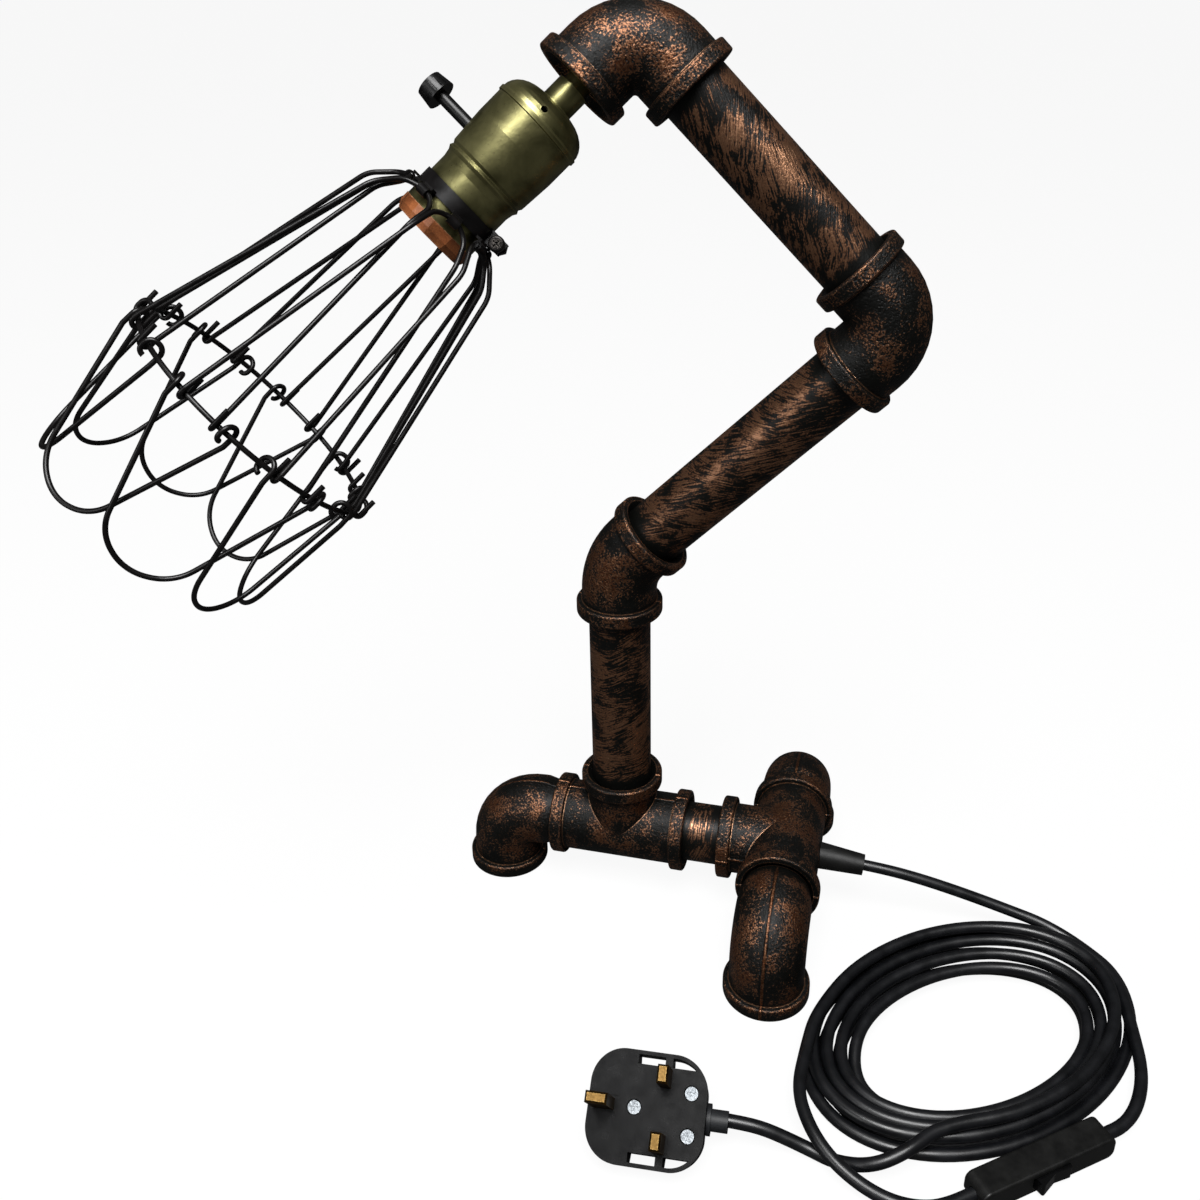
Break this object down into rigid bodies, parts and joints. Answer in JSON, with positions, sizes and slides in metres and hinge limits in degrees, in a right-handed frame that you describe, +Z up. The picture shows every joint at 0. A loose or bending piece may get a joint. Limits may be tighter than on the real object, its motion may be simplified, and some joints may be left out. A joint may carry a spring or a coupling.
{
  "type": "pipe table lamp",
  "caption": "Table lamp screwed together from pipe fittings, with turning arms, a brass lampholder in a wire cage, coiled flex, inline switch and plug.",
  "frame": {"origin": "middle of the bottom of the lamp's own bounding box, without the cord, on the table", "axes": "+Z up along the column, +X from the front tee to the rear tee where the flex leaves, so -X is the side that the cage hangs on"},
  "size_m": [0.4166, 0.2418, 0.3904],
  "materials": {
    "cast_fitting": "black cast iron with copper-coloured rubbed rims",
    "black_pipe": "black steel pipe, copper showing through the brushing",
    "flex": "gloss black PVC sheath",
    "rubber_sleeve": "satin black",
    "antique_brass": "green-black aged brass, rubbed",
    "plain_brass": "bright",
    "amber_ring": "amber moulding",
    "ceramic": "glazed white",
    "zinc_screw": "zinc plated",
    "black_moulding": "fine-textured black",
    "black_metal": "satin black",
    "cage_wire": "black lacquered wire"
  },
  "bodies": {
    "base": {"front_foot_elbow": "cast_fitting", "front_tee": "cast_fitting", "base_nipple": "black_pipe", "rear_tee": "cast_fitting", "near_foot_elbow": "cast_fitting", "far_foot_elbow": "cast_fitting", "strain_relief": "rubber_sleeve", "base_flex": "flex", "cord_coil": "flex", "cord_lead": "flex", "cord_tail": "flex", "inline_base": "black_moulding", "inline_cover": "black_moulding", "plug_face": "black_moulding", "plug_cover": "black_moulding", "plug_pins": "plain_brass", "plug_screws": "zinc_screw", "plug_fuse": "ceramic", "plug_sleeve": "rubber_sleeve"},
    "column": {"column_pipe": "black_pipe", "lower_elbow": "cast_fitting", "column_flex": "flex"},
    "middle_arm": {"middle_pipe": "black_pipe", "middle_elbow": "cast_fitting", "middle_flex": "flex"},
    "upper_arm": {"upper_pipe": "black_pipe", "top_elbow": "cast_fitting", "elbow_bush": "cast_fitting", "stem_nipple": "antique_brass", "socket_cap": "antique_brass", "socket_shell": "antique_brass", "shade_ring": "amber_ring", "screw_shell": "plain_brass", "socket_insulator": "ceramic", "centre_contact": "plain_brass", "terminal_screws": "zinc_screw", "cage_collar": "cage_wire", "collar_screw": "zinc_screw", "collar_nut": "zinc_screw", "cage_ring": "cage_wire", "head_flex": "flex", "hairpin_1": "cage_wire", "hairpin_2": "cage_wire", "hairpin_3": "cage_wire", "hairpin_4": "cage_wire", "hairpin_5": "cage_wire", "hairpin_6": "cage_wire", "hairpin_7": "cage_wire", "hairpin_8": "cage_wire"},
    "knob": {"switch_stem": "black_metal", "switch_knob": "black_moulding"},
    "cord_rocker": {"inline_rocker": "black_moulding"},
    "petal_1": {"petal_1": "cage_wire"},
    "petal_2": {"petal_2": "cage_wire"},
    "petal_3": {"petal_3": "cage_wire"},
    "petal_4": {"petal_4": "cage_wire"},
    "petal_5": {"petal_5": "cage_wire"},
    "petal_6": {"petal_6": "cage_wire"},
    "petal_7": {"petal_7": "cage_wire"},
    "petal_8": {"petal_8": "cage_wire"}
  },
  "joints": [
    {"name": "column_turn", "type": "hinge", "parent": "base", "child": "column", "pos_m": [0.03456, 0.03178, 0.0605], "axis": [0, 0, 1], "range_deg": [-90, 90]},
    {"name": "middle_turn", "type": "hinge", "parent": "column", "child": "middle_arm", "pos_m": [0.03456, 0.03178, 0.169], "axis": [0.7071, 0, 0.7071], "range_deg": [-60, 60]},
    {"name": "upper_turn", "type": "hinge", "parent": "middle_arm", "child": "upper_arm", "pos_m": [0.14522, 0.03178, 0.27966], "axis": [-0.7071, 0, 0.7071], "range_deg": [-90, 90]},
    {"name": "switch_turn", "type": "hinge", "parent": "upper_arm", "child": "knob", "pos_m": [0.00089, 0.00618, 0.33827], "axis": [-0.7414, 0.1441, 0.6554], "continuous": true},
    {"name": "petal_1_fold", "type": "hinge", "parent": "upper_arm", "child": "petal_1", "pos_m": [-0.10711, -0.05318, 0.28661], "axis": [0.4499, -0.8894, 0.0814], "range_deg": [-90, 15]},
    {"name": "petal_2_fold", "type": "hinge", "parent": "upper_arm", "child": "petal_2", "pos_m": [-0.0866, -0.07623, 0.27987], "axis": [0.7501, -0.4592, -0.4758], "range_deg": [-90, 15]},
    {"name": "petal_3_fold", "type": "hinge", "parent": "upper_arm", "child": "petal_3", "pos_m": [-0.06334, -0.07998, 0.25884], "axis": [0.611, 0.24, -0.7544], "range_deg": [-90, 15]},
    {"name": "petal_4_fold", "type": "hinge", "parent": "upper_arm", "child": "petal_4", "pos_m": [-0.05095, -0.06223, 0.23585], "axis": [0.114, 0.7986, -0.591], "range_deg": [-90, 15]},
    {"name": "petal_5_fold", "type": "hinge", "parent": "upper_arm", "child": "petal_5", "pos_m": [-0.05669, -0.03338, 0.22436], "axis": [-0.4499, 0.8894, -0.0814], "range_deg": [-90, 15]},
    {"name": "petal_6_fold", "type": "hinge", "parent": "upper_arm", "child": "petal_6", "pos_m": [-0.0772, -0.01033, 0.2311], "axis": [-0.7501, 0.4592, 0.4758], "range_deg": [-90, 15]},
    {"name": "petal_7_fold", "type": "hinge", "parent": "upper_arm", "child": "petal_7", "pos_m": [-0.10046, -0.00658, 0.25212], "axis": [-0.611, -0.24, 0.7544], "range_deg": [-90, 15]},
    {"name": "petal_8_fold", "type": "hinge", "parent": "upper_arm", "child": "petal_8", "pos_m": [-0.11285, -0.02433, 0.27511], "axis": [-0.114, -0.7986, 0.591], "range_deg": [-90, 15]},
    {"name": "rocker_tilt", "type": "hinge", "parent": "base", "child": "cord_rocker", "pos_m": [0.2223, -0.09163, 0.005], "axis": [0, 0, 1], "range_deg": [-16, 0]}
  ],
  "couplings": [
    {"joint": "petal_2_fold", "follows": "petal_1_fold", "ratio": 1},
    {"joint": "petal_3_fold", "follows": "petal_1_fold", "ratio": 1},
    {"joint": "petal_4_fold", "follows": "petal_1_fold", "ratio": 1},
    {"joint": "petal_5_fold", "follows": "petal_1_fold", "ratio": 1},
    {"joint": "petal_6_fold", "follows": "petal_1_fold", "ratio": 1},
    {"joint": "petal_7_fold", "follows": "petal_1_fold", "ratio": 1},
    {"joint": "petal_8_fold", "follows": "petal_1_fold", "ratio": 1}
  ]
}
